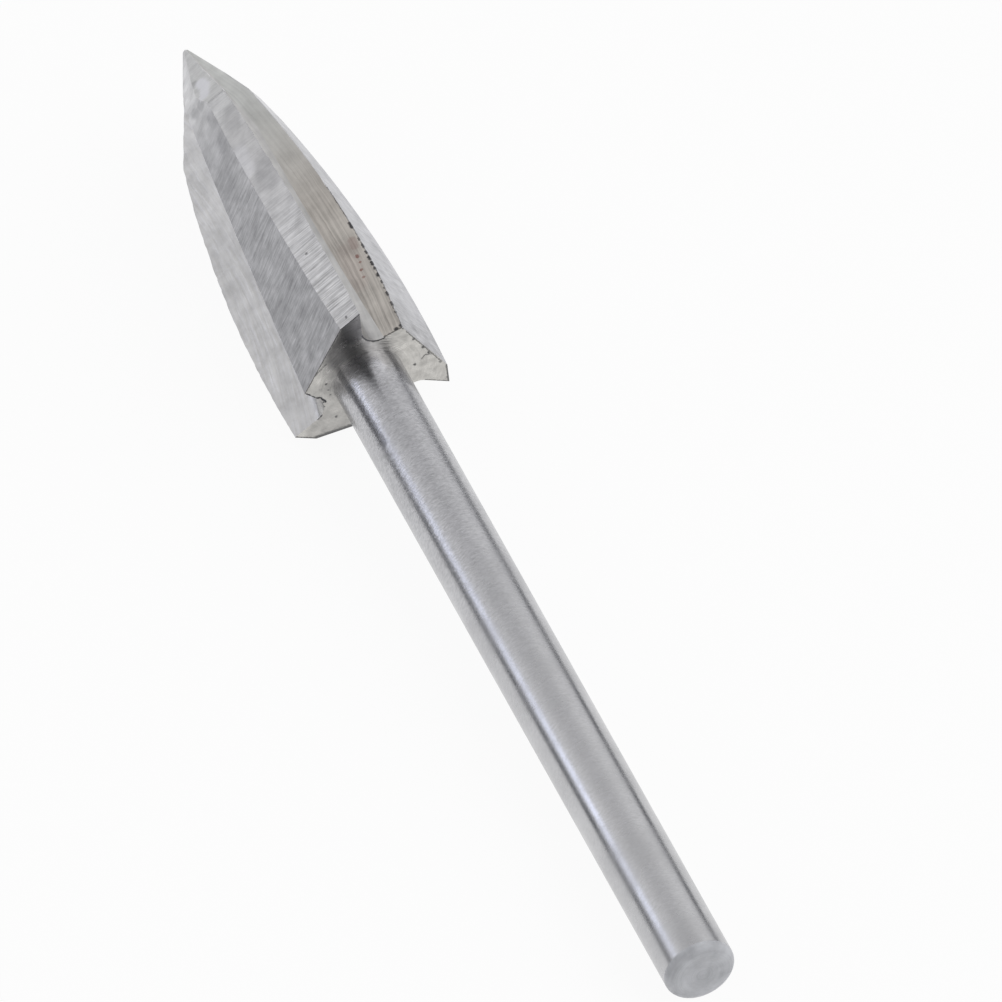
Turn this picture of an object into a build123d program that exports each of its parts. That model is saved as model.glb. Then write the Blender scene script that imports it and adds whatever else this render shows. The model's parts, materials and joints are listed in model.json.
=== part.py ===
from build123d import *
from math import acos, asin, atan2, cos, degrees, hypot, radians, sin
import os

# A rotary carving bit: a straight shank and a pointed three-blade head, ground from one bar.
# Stations are distances from the tip along the tool's axis. Angles about the axis run
# counterclockwise as seen from the shank's end. All sizes are in millimetres and degrees.

# Whole tool
overall_length = 55.3
shank_diameter = 3.0
head_length = 19.8
blade_count = 3

# Turned outline of the head: round nose, straight cone, then one long arc to the back face
nose_radius = 0.2
shoulder_station = 4.9
crest_station = 17.4
head_diameter = 7.96
outline_arc_radius = 56.0

# Land behind each cutting edge, a plane strip leaning back by this angle
land_relief_angle = 30.4

# Wide flat behind the land: its outline along the tool is a cone, then a long arc
flat_relief_angle = 58.6
flat_shoulder_station = 3.85
flat_crest_station = 16.0
flat_crest_distance = 2.65
flat_arc_radius = 70.0
flat_distance_at_tip = 0.15

# Groove in front of each blade, as a dressed grinding wheel leaves it
wheel_radius = 112.0
wheel_station = 3.5
wheel_depth_offset = 0.62
groove_angle = 77.8
groove_corner_radius = 0.75
rake_offset = 0.03

# Gash that carries each groove on through the point: its floor leaves the axis at this slope
gash_slope = 0.25
gash_end_station = 6.0

# Shank ends
root_fillet = 0.12
rear_chamfer = 0.15

# Room by which a cutting shape reaches past the metal that it removes
clearance = 1.5

shank_radius = shank_diameter / 2
head_radius = head_diameter / 2
blade_step = 360 / blade_count

# Lying pose. The tool rests on one wide flat of the head and on the shank's rear rim, so its
# axis leans down towards the rear. Seen from the side the flat is a circle, whose centre lies
# above the axis, and the surface below is the tangent from that circle to the rear rim.
rim_station = overall_length - rear_chamfer
rim_run = rim_station - flat_crest_station
rim_drop = shank_radius - (flat_crest_distance - flat_arc_radius)
lean = degrees(atan2(rim_run, rim_drop) - acos(flat_arc_radius / hypot(rim_run, rim_drop)))
first_edge_angle = 180 - flat_relief_angle

# The origin is on the surface, under the middle of the tool. The tip points along +X.
to_rear = Vector(-cos(radians(lean)), 0, -sin(radians(lean)))
upwards = Vector(-sin(radians(lean)), 0, cos(radians(lean)))
sideways = Vector(0, 1, 0)
tip = Vector(
    overall_length / 2 * cos(radians(lean)),
    0,
    shank_radius * cos(radians(lean)) + rim_station * sin(radians(lean)),
)


def outward(angle):
    """Direction square to the axis, counterclockwise from the upper side."""
    return upwards * cos(radians(angle)) + sideways * sin(radians(angle))


def lengthwise_plane(angle):
    """Plane through the axis: X is the station, Y the distance from the axis at the angle."""
    return Plane(origin=tip, x_dir=to_rear, z_dir=to_rear.cross(outward(angle)))


def cross_plane(station, angle):
    """Plane square to the axis, with X pointing outwards at the angle."""
    return Plane(origin=tip + to_rear * station, x_dir=outward(angle), z_dir=to_rear)


def arc_height(station, crest, height, radius):
    """Distance from the axis of a long arc that bulges to the height at its crest."""
    return height - radius + (radius**2 - (station - crest) ** 2) ** 0.5


# The nose is tangent to the cone that runs on to the shoulder
shoulder_radius = arc_height(shoulder_station, crest_station, head_radius, outline_arc_radius)
shoulder_run = shoulder_station - nose_radius
cone_angle = degrees(
    atan2(shoulder_radius, shoulder_run)
    - asin(nose_radius / hypot(shoulder_run, shoulder_radius))
)
shoulder = (shoulder_station, shoulder_radius)
crest = (crest_station, head_radius)
back_radius = arc_height(head_length, crest_station, head_radius, outline_arc_radius)
back_corner = (head_length, back_radius)

# The flat's outline, from in front of the tip to behind the back face
cut_start = -clearance
cut_end = head_length + clearance
cut_height = head_radius + clearance
flat_shoulder_distance = arc_height(
    flat_shoulder_station, flat_crest_station, flat_crest_distance, flat_arc_radius
)
flat_slope = (flat_shoulder_distance - flat_distance_at_tip) / flat_shoulder_station
flat_start_distance = flat_distance_at_tip + flat_slope * cut_start
flat_end_distance = arc_height(
    cut_end, flat_crest_station, flat_crest_distance, flat_arc_radius
)
flat_shoulder = (flat_shoulder_station, flat_shoulder_distance)
flat_crest = (flat_crest_station, flat_crest_distance)
flat_end = (cut_end, flat_end_distance)

# The groove's section where the wheel cuts deepest, as distances outwards and backwards
groove_reach = 2 * head_radius
groove_corner = (wheel_depth_offset, rake_offset)
groove_floor_end = (
    wheel_depth_offset + groove_reach * cos(radians(groove_angle)),
    rake_offset - groove_reach * sin(radians(groove_angle)),
)

with BuildPart() as carving_bit:
    # The turned blank: head, shank, root fillet and broken rear rim
    with BuildSketch(lengthwise_plane(0)) as blank_profile:
        with BuildLine():
            nose = CenterArc((nose_radius, 0), nose_radius, 180, cone_angle - 90)
            Line(nose @ 1, shoulder)
            ThreePointArc(shoulder, crest, back_corner)
            Polyline(
                back_corner,
                (head_length, shank_radius),
                (overall_length, shank_radius),
                (overall_length, 0),
                (0, 0),
            )
        make_face()
        root = blank_profile.vertices().sort_by_distance((head_length, shank_radius))[0]
        fillet(root, root_fillet)
        rear_rim = blank_profile.vertices().sort_by_distance((overall_length, shank_radius))[0]
        chamfer(rear_rim, rear_chamfer)
    revolve(axis=Axis(tip, to_rear))

    for blade in range(blade_count):
        edge_angle = first_edge_angle + blade * blade_step

        # The wide flat, straight across the blade and curved along it
        with BuildSketch(lengthwise_plane(edge_angle + flat_relief_angle)):
            with BuildLine():
                ThreePointArc(flat_shoulder, flat_crest, flat_end)
                Polyline(
                    flat_end,
                    (cut_end, cut_height),
                    (cut_start, cut_height),
                    (cut_start, flat_start_distance),
                    flat_shoulder,
                )
            make_face()
        extrude(amount=cut_height, both=True, mode=Mode.SUBTRACT)

        # The land: the head's own outline swept back across the blade at the relief angle
        with BuildSketch(lengthwise_plane(edge_angle)):
            with BuildLine():
                Line(nose @ 1, shoulder)
                ThreePointArc(shoulder, crest, back_corner)
                Polyline(
                    back_corner,
                    (cut_end, back_radius),
                    (cut_end, cut_height),
                    (cut_start, cut_height),
                    (cut_start, (nose @ 1).Y),
                    nose @ 1,
                )
            make_face()
        land_direction = outward(edge_angle + 90 + land_relief_angle)
        extrude(amount=cut_height, dir=land_direction, both=True, mode=Mode.SUBTRACT)

        # The groove: the rim of a wheel, flat on the rake side and dressed at an angle below
        groove_plane = cross_plane(wheel_station, edge_angle)
        with BuildSketch(groove_plane) as wheel_profile:
            with BuildLine():
                Polyline(
                    groove_corner,
                    groove_floor_end,
                    (cut_height, groove_floor_end[1]),
                    (cut_height, rake_offset),
                    groove_corner,
                )
            make_face()
            inner_corner = wheel_profile.vertices().sort_by_distance(groove_corner)[0]
            fillet(inner_corner, groove_corner_radius)
        wheel_centre = groove_plane.origin + groove_plane.x_dir * (
            wheel_depth_offset + wheel_radius
        )
        revolve(axis=Axis(wheel_centre, groove_plane.y_dir), mode=Mode.SUBTRACT)

        # The gash: a straight V between the same two faces, which sharpens the point
        rake_plane = lengthwise_plane(edge_angle).offset(rake_offset)
        with BuildSketch(rake_plane):
            with BuildLine():
                Polyline(
                    (cut_start, gash_slope * cut_start),
                    (gash_end_station, gash_slope * gash_end_station),
                    (gash_end_station, cut_height),
                    (cut_start, cut_height),
                    close=True,
                )
            make_face()
        extrude(amount=cut_height, dir=outward(edge_angle - groove_angle), mode=Mode.SUBTRACT)

carving_bit.part.label = "carving_bit"

os.makedirs("parts", exist_ok=True)
export_step(carving_bit.part, "parts/carving_bit.step")
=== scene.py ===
"""Dresses the rotary carving bit: a pointed head with three ground blades on a straight shank.

Shapes are worked out in the tool's own frame, in millimetres: X is the station, the distance from
the tip towards the rear, Y points up and Z sideways. Angles run counterclockwise as seen from the
shank's end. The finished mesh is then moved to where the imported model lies, in metres.
"""

import json
import logging
from collections.abc import Callable
from dataclasses import dataclass
from enum import Enum
from math import asin, atan2, cos, hypot, pi, radians, sin, sqrt, tan

import bmesh
import bpy
from mathutils import Matrix, Vector, noise

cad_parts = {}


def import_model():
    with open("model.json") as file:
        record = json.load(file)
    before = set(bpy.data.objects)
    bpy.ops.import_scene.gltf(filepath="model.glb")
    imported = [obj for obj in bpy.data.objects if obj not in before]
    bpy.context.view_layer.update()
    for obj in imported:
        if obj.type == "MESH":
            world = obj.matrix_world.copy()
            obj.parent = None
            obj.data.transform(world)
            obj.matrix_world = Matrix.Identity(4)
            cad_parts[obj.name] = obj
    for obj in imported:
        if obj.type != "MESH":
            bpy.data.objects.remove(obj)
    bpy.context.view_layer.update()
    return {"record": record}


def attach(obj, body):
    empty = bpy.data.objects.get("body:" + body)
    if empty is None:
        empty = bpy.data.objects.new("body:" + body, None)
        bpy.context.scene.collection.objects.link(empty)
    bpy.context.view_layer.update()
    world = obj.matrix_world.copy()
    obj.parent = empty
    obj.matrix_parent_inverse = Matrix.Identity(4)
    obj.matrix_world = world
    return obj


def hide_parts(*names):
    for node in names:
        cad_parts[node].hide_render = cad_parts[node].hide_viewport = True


LOG = logging.getLogger("carving_bit")
METRES_PER_MM = 0.001

# Sizes of the shank, in millimetres
OVERALL_LENGTH = 55.3
SHANK_RADIUS = 1.5

# Names of what the mesh carries for its materials
PLACE = "place_mm"
LAY = "lay_mm"
SURFACE = "surface"

# Colours of the marks: the dark of a pit, rust, a dull stain, and painted highlights
# The pit colour also paints shadow lines along the ridge and round the groove's end, and painted
# shade on the back faces' rims
PIT_AND_SHADE = "#2B2C30"
RUST = "#7E534B"
# The stain colour also paints dark reflections on the back face and on the shank by the head
STAIN_AND_SHADE = "#66666B"
# Painted highlights and glints: a pale bluish white that stands in for reflected light
PAINTED_HIGHLIGHT = "#F6F6FC"
WHITE = "#FFFFFF"

# Every noise runs from 0 to 1 about this middle
NOISE_MIDDLE = 0.5

# Nodes that are used often. Their inputs are numbered where several share a name: a mix blends
# 6 and 7 by 0, and a range takes 0 from the span 1 to 2 into the span 3 to 4.
MATH = "ShaderNodeMath"
VECTOR_MATH = "ShaderNodeVectorMath"
RANGE = "ShaderNodeMapRange"
NOISE = "ShaderNodeTexNoise"
MIX = "ShaderNodeMix"

Socket = bpy.types.NodeSocket
Tree = bpy.types.NodeTree
Point = tuple[float, float]


class Surface(Enum):
    """The kinds of surface that the grinding wheels leave, each with its own finish."""

    LAND = 0
    FLAT = 1
    GROOVE_FLOOR = 2
    RAKE_FACE = 3
    WORN_EDGE = 4
    BACK_FACE = 5
    SHANK = 6
    REAR_END = 7


class Lay(Enum):
    """Which way the marks of the last grinding run."""

    ON_BLADE = "on_blade"
    ROUND_SHANK = "round_shank"
    CONCENTRIC = "concentric"


class Blade(Enum):
    """The three blades, in the order in which they follow each other counterclockwise."""

    LEFT = 0
    RIGHT = 1
    TOP = 2


def linear_colour(hex_colour: str) -> tuple[float, float, float, float]:
    """Turns an sRGB hex colour into the linear colour that a shader takes.

    Args:
        hex_colour: Six hex digits after a hash, such as #B0B0B2.

    Returns:
        Red, green, blue and a full alpha.
    """
    channels = [int(hex_colour[place : place + 2], 16) / 255 for place in (1, 3, 5)]
    linear = [c / 12.92 if c <= 0.04045 else ((c + 0.055) / 1.055) ** 2.4 for c in channels]
    return (linear[0], linear[1], linear[2], 1.0)


def add_node(
    tree: Tree, kind: str, inputs: dict[str | int, object] | None = None, **settings: object
) -> bpy.types.Node:
    """Adds a node, sets it up and links it.

    Args:
        tree: The node tree that takes the node.
        kind: The node's type name.
        inputs: For each named or numbered input a plain value, another node's output, or
            another node, whose first output is meant.
        **settings: Properties of the node itself.

    Returns:
        The new node.
    """
    node = tree.nodes.new(kind)
    for name, value in settings.items():
        setattr(node, name, value)
    for key, value in (inputs or {}).items():
        if isinstance(value, bpy.types.Node):
            value = value.outputs[0]
        if isinstance(value, Socket):
            tree.links.new(value, node.inputs[key])
        else:
            node.inputs[key].default_value = value
    return node


def between(first: Point, last: Point, share: float) -> Point:
    """The point at a share of the way from one point to another."""
    return tuple(a + (b - a) * share for a, b in zip(first, last))


def gap(first: Point, last: Point) -> float:
    """Distance between two points."""
    return hypot(last[0] - first[0], last[1] - first[1])


def moved(corner: Point, towards: Point, distance: float, largest_share: float = 0.3) -> Point:
    """Moves a corner towards another, by no more than a share of the way between them."""
    return between(corner, towards, min(distance / gap(corner, towards), largest_share))


def turned(point: Point, angle: float) -> Point:
    """A cross section's point turned about the axis."""
    x, y = point
    return (x * cos(angle) - y * sin(angle), x * sin(angle) + y * cos(angle))


def crossing(first_angle: float, first: float, second_angle: float, second: float) -> Point:
    """Where two faces meet in a cross section.

    Args:
        first_angle: Direction square to the first face.
        first: The first face's distance from the axis.
        second_angle: Direction square to the second face.
        second: The second face's distance from the axis.

    Returns:
        The corner, as distances outwards and counterclockwise.
    """
    size = sin(second_angle - first_angle)
    x = (first * sin(second_angle) - second * sin(first_angle)) / size
    y = (second * cos(first_angle) - first * cos(second_angle)) / size
    return (x, y)


@dataclass(frozen=True)
class ToolFrame:
    """Where the tool lies: its tip and its own three directions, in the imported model's frame."""

    tip: Vector
    to_rear: Vector
    upwards: Vector
    sideways: Vector

    @classmethod
    def from_record(cls, record: dict, clamp_station: float = 55.0) -> "ToolFrame":
        """Reads the tool's axis from the clamp mount on its shank.

        Args:
            record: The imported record.
            clamp_station: The mount's distance from the tip, in millimetres.

        Returns:
            The tool's frame, in metres.
        """
        mount = next(mount for mount in record["mounts"] if mount["name"] == "shank")
        to_rear = Vector(mount["axis"]).normalized()
        tip = Vector(mount["pos_m"]) - to_rear * clamp_station * METRES_PER_MM
        upwards = Vector((to_rear.z, 0.0, -to_rear.x)).normalized()
        return cls(tip, to_rear, upwards, to_rear.cross(upwards))

    def matrix(self) -> Matrix:
        """The turn, size and place that take the tool's millimetres to the model's metres."""
        turn = Matrix((self.to_rear, self.upwards, self.sideways)).transposed().to_4x4()
        return Matrix.Translation(self.tip) @ turn @ Matrix.Scale(METRES_PER_MM, 4)

    def outward(self, angle: float) -> Vector:
        """Direction square to the axis, counterclockwise from the upper side."""
        return self.upwards * cos(angle) + self.sideways * sin(angle)


@dataclass(frozen=True)
class Outline:
    """An outline along the tool: straight from the tip to a shoulder, then one long arc."""

    at_tip: float
    shoulder_station: float
    crest_station: float
    crest_distance: float
    arc_radius: float

    def arc(self, station: float) -> float:
        """Distance of the long arc from the axis at a station."""
        run = station - self.crest_station
        return self.crest_distance - self.arc_radius + sqrt(self.arc_radius**2 - run**2)

    def distance(self, station: float) -> float:
        """Distance of the outline from the axis.

        Args:
            station: Distance from the tip.

        Returns:
            The distance, on the straight part or on the arc.
        """
        if station >= self.shoulder_station:
            return self.arc(station)
        rise = self.arc(self.shoulder_station) - self.at_tip
        return self.at_tip + rise * station / self.shoulder_station


@dataclass(frozen=True)
class RingPoint:
    """A corner of the head's cross section, and the surface that runs on from it."""

    x: float
    y: float
    surface: Surface
    across: float


@dataclass
class HeadSection:
    """The rule for the head's cross section: one blade's faces at any station."""

    blade_count: int = 3
    head_length: float = 19.8
    nose_radius: float = 0.2
    edge_line: Outline = Outline(
        at_tip=0.0, shoulder_station=4.9, crest_station=17.4, crest_distance=3.98, arc_radius=56.0
    )
    flat_line: Outline = Outline(
        at_tip=0.15, shoulder_station=3.85, crest_station=16.0, crest_distance=2.65, arc_radius=70.0
    )
    land_relief: float = radians(30.4)
    flat_relief: float = radians(58.6)
    wheel_radius: float = 112.0
    wheel_station: float = 3.5
    wheel_depth: float = 0.62
    groove_angle: float = radians(77.8)
    rake_offset: float = 0.03
    root_radius: float = 0.75
    root_radius_at_point: float = 0.3
    root_radius_growth: float = 0.13
    point_station: float = 2.5
    worn_width: float = 0.05
    worn_share: float = 0.75
    worn_wander: float = 0.9
    wear_length: float = 0.45
    heel_share: float = 0.4
    nick_depth: float = 0.05
    nick_length: float = 0.3
    # A row of the noise for each worn line and one for the nicks, so that no two are alike
    worn_rows: tuple[float, float, float] = (0.5, 3.5, 6.5)
    nick_row: float = 9.5

    def __post_init__(self) -> None:
        """Works out the step between blades and the cone that the round nose runs on to."""
        self.step = 2 * pi / self.blade_count
        shoulder = self.edge_line.shoulder_station
        radius = self.edge_line.arc(shoulder)
        run = shoulder - self.nose_radius
        self.cone = atan2(radius, run) - asin(self.nose_radius / hypot(run, radius))
        self.nose_end = self.nose_radius * (1 - sin(self.cone))

    def edge_distance(self, station: float) -> float:
        """Distance of the cutting edge from the axis, round nose and cone included.

        Args:
            station: Distance from the tip.

        Returns:
            The distance on the nose, on the cone or on the long arc.
        """
        if station < self.nose_end:
            return sqrt(self.nose_radius**2 - (self.nose_radius - station) ** 2)
        shoulder = self.edge_line.shoulder_station
        if station < shoulder:
            return self.edge_line.arc(shoulder) - (shoulder - station) * tan(self.cone)
        return self.edge_line.arc(station)

    def root(self, station: float) -> float:
        """Radius in the bottom of the groove, which narrows towards the point."""
        run = max(station - self.point_station, 0.0)
        return min(self.root_radius, self.root_radius_at_point + self.root_radius_growth * run)

    def corners(self, station: float) -> dict[str, Point]:
        """The corners of one blade's share of the cross section, for a station past the point.

        Args:
            station: Distance from the tip.

        Returns:
            The named corners, from this blade's edge to the next blade's edge.
        """
        edge = self.edge_distance(station)
        flat = self.flat_line.distance(station)
        rise = sqrt(self.wheel_radius**2 - (station - self.wheel_station) ** 2)
        depth = self.wheel_depth + self.wheel_radius - rise
        tilt = pi / 2 - self.groove_angle
        floor_angle = self.step + tilt
        floor = depth * cos(tilt) + self.rake_offset * sin(tilt)
        root = self.root(station)
        tangent = root / tan(self.groove_angle / 2)
        cutting_edge = (edge - self.rake_offset * tan(self.land_relief), self.rake_offset)
        floor_run = self.step - self.groove_angle
        corner = turned((depth, self.rake_offset), self.step)
        floor_foot = (corner[0] + tangent * cos(floor_run), corner[1] + tangent * sin(floor_run))
        return {
            "edge": cutting_edge,
            "heel": crossing(
                self.land_relief, edge * cos(self.land_relief), self.flat_relief, flat
            ),
            "ridge": crossing(self.flat_relief, flat, floor_angle, floor),
            "floor_foot": floor_foot,
            "root_centre": turned((depth + tangent, self.rake_offset - root), self.step),
            "rake_foot": turned((depth + tangent, self.rake_offset), self.step),
            "next_edge": turned(cutting_edge, self.step),
        }

    def wear(self, station: float, row: float) -> float:
        """Width of the worn strip along an edge, which comes and goes along the blade."""
        wander = noise.noise(Vector((station / self.wear_length, row, 0.0)))
        return self.worn_width * (self.worn_share + self.worn_wander * wander)

    def nick(self, station: float) -> float:
        """Depth of the small nicks in the cutting edge at a station."""
        wander = noise.noise(Vector((station / self.nick_length, self.nick_row, 0.0)))
        return self.nick_depth * max(wander, 0.0)

    def ring(self, station: float, counts: dict[Surface, int], root_count: int) -> list[RingPoint]:
        """Points along one blade's share of the cross section.

        Args:
            station: Distance from the tip.
            counts: How many strips each surface is cut into.
            root_count: How many strips the round bottom of the groove is cut into.

        Returns:
            The points, from this blade's edge to the next blade's edge.
        """
        base = max(station, self.point_station)
        size = self.edge_distance(station) / self.edge_distance(base)
        c = self.corners(base)
        points: list[RingPoint] = []

        def strip(start: Point, end: Point, surface: Surface, first: float = 0.0) -> float:
            """Adds a plane face without its last point.

            Args:
                start: The face's first corner.
                end: The face's last corner.
                surface: The kind of surface.
                first: Distance across the surface at which the face starts.

            Returns:
                The distance across the surface at which the face ends.
            """
            run = gap(start, end)
            for index in range(counts[surface]):
                share = index / counts[surface]
                points.append(RingPoint(*between(start, end, share), surface, first + run * share))
            return first + run

        edge_wear, heel_wear, ridge_wear = (self.wear(station, row) / 2 for row in self.worn_rows)
        heel_wear *= self.heel_share
        c["edge"] = moved(c["edge"], c["heel"], self.nick(station))
        c["next_edge"] = turned(c["edge"], self.step)
        edge_after = moved(c["edge"], c["heel"], edge_wear)
        heel_before = moved(c["heel"], c["edge"], heel_wear)
        heel_after = moved(c["heel"], c["ridge"], heel_wear)
        ridge_before = moved(c["ridge"], c["heel"], ridge_wear)
        ridge_after = moved(c["ridge"], c["floor_foot"], ridge_wear)
        next_before = moved(c["next_edge"], c["rake_foot"], edge_wear)
        strip(turned(next_before, -self.step), edge_after, Surface.WORN_EDGE)
        land = strip(edge_after, heel_before, Surface.LAND)
        strip(heel_before, heel_after, Surface.LAND, land)
        strip(heel_after, ridge_before, Surface.FLAT)
        strip(ridge_before, ridge_after, Surface.WORN_EDGE)
        across = strip(ridge_after, c["floor_foot"], Surface.GROOVE_FLOOR)
        centre = c["root_centre"]
        start = atan2(c["floor_foot"][1] - centre[1], c["floor_foot"][0] - centre[0])
        turn = self.groove_angle - pi
        root = gap(centre, c["floor_foot"])
        for index in range(root_count):
            angle = start + turn * index / root_count
            x, y = centre[0] + root * cos(angle), centre[1] + root * sin(angle)
            run = across - root * turn * index / root_count
            points.append(RingPoint(x, y, Surface.RAKE_FACE, run))
        strip(c["rake_foot"], next_before, Surface.RAKE_FACE, across - root * turn)
        points.append(RingPoint(*next_before, Surface.WORN_EDGE, 0.0))
        return [RingPoint(p.x * size, p.y * size, p.surface, p.across * size) for p in points]

    def on_blade(self, blade: Blade, surface: Surface, station: float, across: float) -> Vector:
        """A place on a blade, in the tool's frame.

        Args:
            blade: The blade whose share of the section holds the place.
            surface: The land, the flat or the groove's floor.
            station: Distance from the tip.
            across: Distance from the surface's first edge, straight across the blade.

        Returns:
            Station, height and sideways distance in millimetres.
        """
        ends = {
            Surface.LAND: ("edge", "heel"),
            Surface.FLAT: ("heel", "ridge"),
            Surface.GROOVE_FLOOR: ("ridge", "floor_foot"),
        }[surface]
        c = self.corners(station)
        first, last = c[ends[0]], c[ends[1]]
        point = between(first, last, across / gap(first, last))
        return Vector((station, *turned(point, self.edge_angle(blade))))

    def edge_angle(self, blade: Blade) -> float:
        """Angle of a blade's edge about the axis, counterclockwise from the upper side."""
        return pi - self.flat_relief + blade.value * self.step


@dataclass(frozen=True)
class Mark:
    """A pit, crack, stain or patch of painted light or shade: the places it runs through, its
    width, strength and colour.

    It has its full strength up to one share of its width from the path, and is gone at another.
    """

    path: tuple[Vector, ...]
    width: float
    strength: float = 1.0
    colour: str = PIT_AND_SHADE
    core_share: float = 0.3
    rim_share: float = 0.75


@dataclass(frozen=True)
class GroundSteel:
    """High-speed steel as a grinding wheel leaves it: grey, satin, with a lay of fine scratches.

    Lengths are in millimetres. The lay angle is measured from straight across the blade. A
    wheel leaves scratches 0.02 to 0.05 mm apart, which is about a pixel of the render or less.
    They are drawn coarser, with a pitch of 0.08 mm and more, so that they show.
    """

    name: str
    tip_colour: str
    rear_colour: str
    rough: float
    lay: Lay = Lay.ON_BLADE
    lay_angle: float = 0.0
    pitch: float = 0.1
    scratch_length: float = 3.0
    lay_contrast: float = 0.15
    lay_spread: float = 0.2
    lay_detail: float = 2.0
    lay_waver: float = 0.0
    lay_at_tip: float = 1.0
    lay_grows_from: float = 7.0
    lay_grows_to: float = 14.0
    patch_size: float = 1.5
    patch_contrast: float = 0.08
    patch_detail: float = 4.0
    patch_low: float = 0.3
    patch_high: float = 0.7
    patch_gloss: float = 0.06
    scratch_depth: float = 0.004
    fade_from: float = 3.0
    fade_to: float = 12.0
    marks: tuple[Mark, ...] = ()
    pit_depth: float = 0.02
    ragged_scale: float = 8.0
    ragged_detail: float = 3.0
    ragged_reach: float = 0.12
    noise_roughness: float = 0.6

    def lay_vector(self, tree: Tree, place: Socket) -> Socket:
        """Coordinates that count scratches one way and scratch lengths the other.

        Args:
            tree: The material's node tree.
            place: The place in the tool's frame.

        Returns:
            The vector for the scratches' noise.
        """
        along, over = 1 / self.scratch_length, 1 / self.pitch
        if self.lay is Lay.CONCENTRIC:
            flat = add_node(tree, VECTOR_MATH, {0: place, 1: (0, 1, 1)}, operation="MULTIPLY")
            radius = add_node(tree, VECTOR_MATH, {0: flat}, operation="LENGTH").outputs["Value"]
            count = add_node(tree, MATH, {0: radius, 1: over}, operation="MULTIPLY")
            drift = add_node(tree, VECTOR_MATH, {0: flat, "Scale": along}, operation="SCALE")
            return add_node(tree, VECTOR_MATH, {0: count, 1: drift}).outputs[0]
        source, size = place, (over, along, along)
        if self.lay is Lay.ON_BLADE:
            uv = add_node(tree, "ShaderNodeUVMap", uv_map=LAY)
            turn = {"Vector": uv, "Angle": -self.lay_angle}
            source = add_node(tree, "ShaderNodeVectorRotate", turn, rotation_type="Z_AXIS")
            size = (along, over, 1.0)
        return add_node(tree, VECTOR_MATH, {0: source, 1: size}, operation="MULTIPLY").outputs[0]

    def distance_to(self, tree: Tree, place: Socket, start: Vector, end: Vector) -> Socket:
        """Distance from each spot to a short line, or to one point.

        Args:
            tree: The material's node tree.
            place: The spot.
            start: The line's start.
            end: The line's end, the same as its start for a point.

        Returns:
            The distance in millimetres.
        """
        run = (end - start).length
        foot = start
        if run > 0:
            direction = (end - start) / run
            place = add_node(tree, VECTOR_MATH, {0: place, 1: start}, operation="SUBTRACT")
            facing = {0: place, 1: direction}
            along = add_node(tree, VECTOR_MATH, facing, operation="DOT_PRODUCT").outputs["Value"]
            held = add_node(tree, "ShaderNodeClamp", {"Value": along, "Min": 0.0, "Max": run})
            foot = add_node(tree, VECTOR_MATH, {0: direction, "Scale": held}, operation="SCALE")
        distance = add_node(tree, VECTOR_MATH, {0: place, 1: foot}, operation="DISTANCE")
        return distance.outputs["Value"]

    def mark_mask(self, tree: Tree, place: Socket, shade: str) -> Socket:
        """How strongly each spot is marked in one colour, with ragged outlines.

        Args:
            tree: The material's node tree.
            place: The place in the tool's frame.
            shade: The colour of the marks that count.

        Returns:
            A value from 0 to 1.
        """
        uneven = {"Vector": place, "Scale": self.ragged_scale, "Detail": self.ragged_detail}
        ragged = {0: add_node(tree, NOISE, uneven).outputs["Color"], 1: (NOISE_MIDDLE,) * 3}
        centred = add_node(tree, VECTOR_MATH, ragged, operation="SUBTRACT")
        shift = {0: centred, 1: (self.ragged_reach,) * 3, 2: place}
        shifted = add_node(tree, VECTOR_MATH, shift, operation="MULTIPLY_ADD").outputs[0]
        mask = add_node(tree, "ShaderNodeValue")
        for mark in (mark for mark in self.marks if mark.colour == shade):
            core, rim = mark.width * mark.core_share, mark.width * mark.rim_share
            for start, end in list(zip(mark.path, mark.path[1:])) or [mark.path * 2]:
                distance = self.distance_to(tree, shifted, start, end)
                strength = add_node(
                    tree,
                    RANGE,
                    {0: distance, 1: core, 2: rim, 3: mark.strength, 4: 0.0},
                    interpolation_type="SMOOTHSTEP",
                )
                mask = add_node(tree, MATH, {0: mask, 1: strength}, operation="MAXIMUM")
        return mask.outputs[0]

    def scratch_height(self, tree: Tree, place: Socket, station: Socket) -> Socket:
        """Height of the scratches, whose strength changes with the distance from the tip.

        Args:
            tree: The material's node tree.
            place: The place in the tool's frame.
            station: Distance from the tip.

        Returns:
            A value from -1 to 1 where the scratches have their full strength.
        """
        scratches = add_node(
            tree,
            NOISE,
            {
                "Vector": self.lay_vector(tree, place),
                "Scale": 1.0,
                "Detail": self.lay_detail,
                "Roughness": self.noise_roughness,
                "Distortion": self.lay_waver,
            },
        )
        growth = add_node(
            tree,
            RANGE,
            {0: station, 1: self.lay_grows_from, 2: self.lay_grows_to, 3: self.lay_at_tip, 4: 1.0},
            interpolation_type="SMOOTHSTEP",
        )
        low, high = NOISE_MIDDLE - self.lay_spread, NOISE_MIDDLE + self.lay_spread
        centred = add_node(tree, RANGE, {0: scratches, 1: low, 2: high, 3: -1.0, 4: 1.0})
        return add_node(tree, MATH, {0: centred, 1: growth}, operation="MULTIPLY").outputs[0]

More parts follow.
